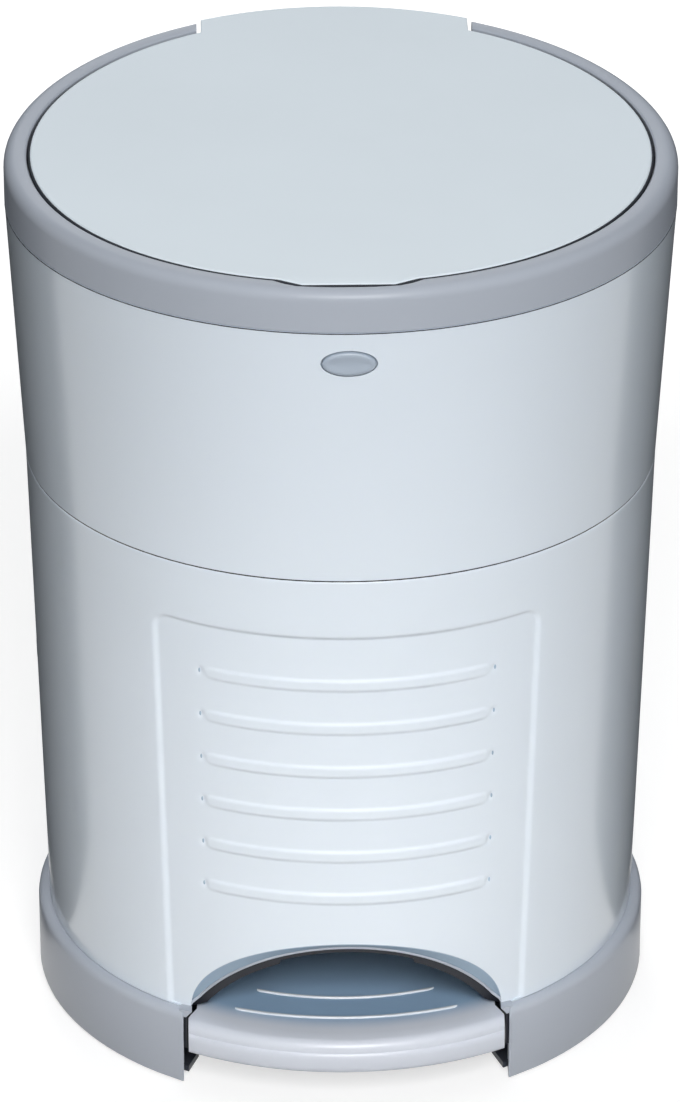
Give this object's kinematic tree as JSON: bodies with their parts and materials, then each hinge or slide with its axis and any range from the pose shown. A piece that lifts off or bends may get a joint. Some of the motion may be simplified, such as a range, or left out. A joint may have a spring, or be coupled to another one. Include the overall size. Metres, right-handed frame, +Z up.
{
  "type": "nappy bin",
  "caption": "Round pedal nappy bin with a hinged lid, sprung trap doors over a refill ring and a tilting upper section released by a front button.",
  "frame": {"origin": "centre of the footprint on the floor", "axes": "+Z up along the body axis, the pedal and button face -Y, +X to the right seen from the front"},
  "size_m": [0.311, 0.3111, 0.4361],
  "materials": {
    "body_plastic": "satin moulded plastic",
    "lid_plastic": "satin moulded plastic",
    "grey_plastic": "satin moulded plastic",
    "hood_plastic": "satin moulded plastic",
    "pedal_plastic": "satin moulded plastic",
    "button_plastic": "satin moulded plastic",
    "dark_plastic": "fine texture",
    "inner_plastic": "fine texture",
    "refill_plastic": "satin",
    "film": "pleated film",
    "rubber": "matt",
    "gasket_rubber": "matt",
    "steel": "drawn wire and rod",
    "lever_steel": "zinc plated"
  },
  "bodies": {
    "base": {"lower_shell": "body_plastic", "base_ring": "grey_plastic", "pedal_hood": "hood_plastic", "base_plate": "dark_plastic", "rubber_feet": "rubber", "base_screws": "steel", "pedal_pin": "steel", "pedal_spring": "steel", "rod_channel": "inner_plastic", "liner_tray": "inner_plastic", "refill_cassette": "refill_plastic", "liner_film": "film", "tilt_pin": "steel"},
    "pedal": {"pedal_tread": "pedal_plastic", "pedal_lever": "lever_steel"},
    "push_rod": {"push_rod": "steel"},
    "upper": {"upper_shell": "body_plastic", "rim": "grey_plastic", "funnel": "inner_plastic", "trap_frame": "inner_plastic", "trap_pins": "steel", "trap_springs": "steel", "latch_guide": "inner_plastic", "button_spring": "steel", "lifter_guide": "inner_plastic", "lid_bracket": "inner_plastic", "lid_pin": "steel"},
    "lifter": {"lifter": "lever_steel"},
    "lid": {"lid_panel": "lid_plastic", "lid_inner": "inner_plastic", "lid_gasket": "gasket_rubber", "lid_crank": "dark_plastic"},
    "button": {"button_cap": "button_plastic", "latch_bar": "inner_plastic"},
    "trap_left": {"trap_door_left": "inner_plastic"},
    "trap_right": {"trap_door_right": "inner_plastic"}
  },
  "joints": [
    {"name": "upper_tilt", "type": "hinge", "parent": "base", "child": "upper", "pos_m": [0, 0.1493, 0.278], "axis": [-1, 0, 0], "range_deg": [0, 80]},
    {"name": "lid_hinge", "type": "hinge", "parent": "upper", "child": "lid", "pos_m": [0, 0.146, 0.422], "axis": [-1, 0, 0], "range_deg": [0, 80]},
    {"name": "pedal_press", "type": "hinge", "parent": "base", "child": "pedal", "pos_m": [0, -0.0252, 0.02], "axis": [1, 0, 0], "range_deg": [0, 5.47], "stiffness_Nm_per_rad": 1.2, "springref_deg": -8.59, "deforming": ["pedal_spring"]},
    {"name": "push_rod_slide", "type": "slide", "parent": "base", "child": "push_rod", "axis": [0, 0, 1], "range_m": [0, 0.0151]},
    {"name": "lifter_slide", "type": "slide", "parent": "upper", "child": "lifter", "axis": [0, 0, 1], "range_m": [0, 0.0151]},
    {"name": "release_button", "type": "slide", "parent": "upper", "child": "button", "axis": [0, 1, 0], "range_m": [0, 0.003], "stiffness_N_per_m": 200, "springref_m": -0.005},
    {"name": "trap_left_swing", "type": "hinge", "parent": "upper", "child": "trap_left", "pos_m": [-0.079, 0, 0.368], "axis": [0, 1, 0], "range_deg": [0, 80], "stiffness_Nm_per_rad": 0.03, "springref_deg": -57.3},
    {"name": "trap_right_swing", "type": "hinge", "parent": "upper", "child": "trap_right", "pos_m": [0.079, 0, 0.368], "axis": [0, -1, 0], "range_deg": [0, 80], "stiffness_Nm_per_rad": 0.03, "springref_deg": -57.3}
  ],
  "couplings": [
    {"joint": "push_rod_slide", "follows": "pedal_press", "m_per_rad": 0.157},
    {"joint": "lifter_slide", "follows": "pedal_press", "m_per_rad": 0.157},
    {"joint": "lid_hinge", "follows": "pedal_press", "ratio": 14.61}
  ]
}
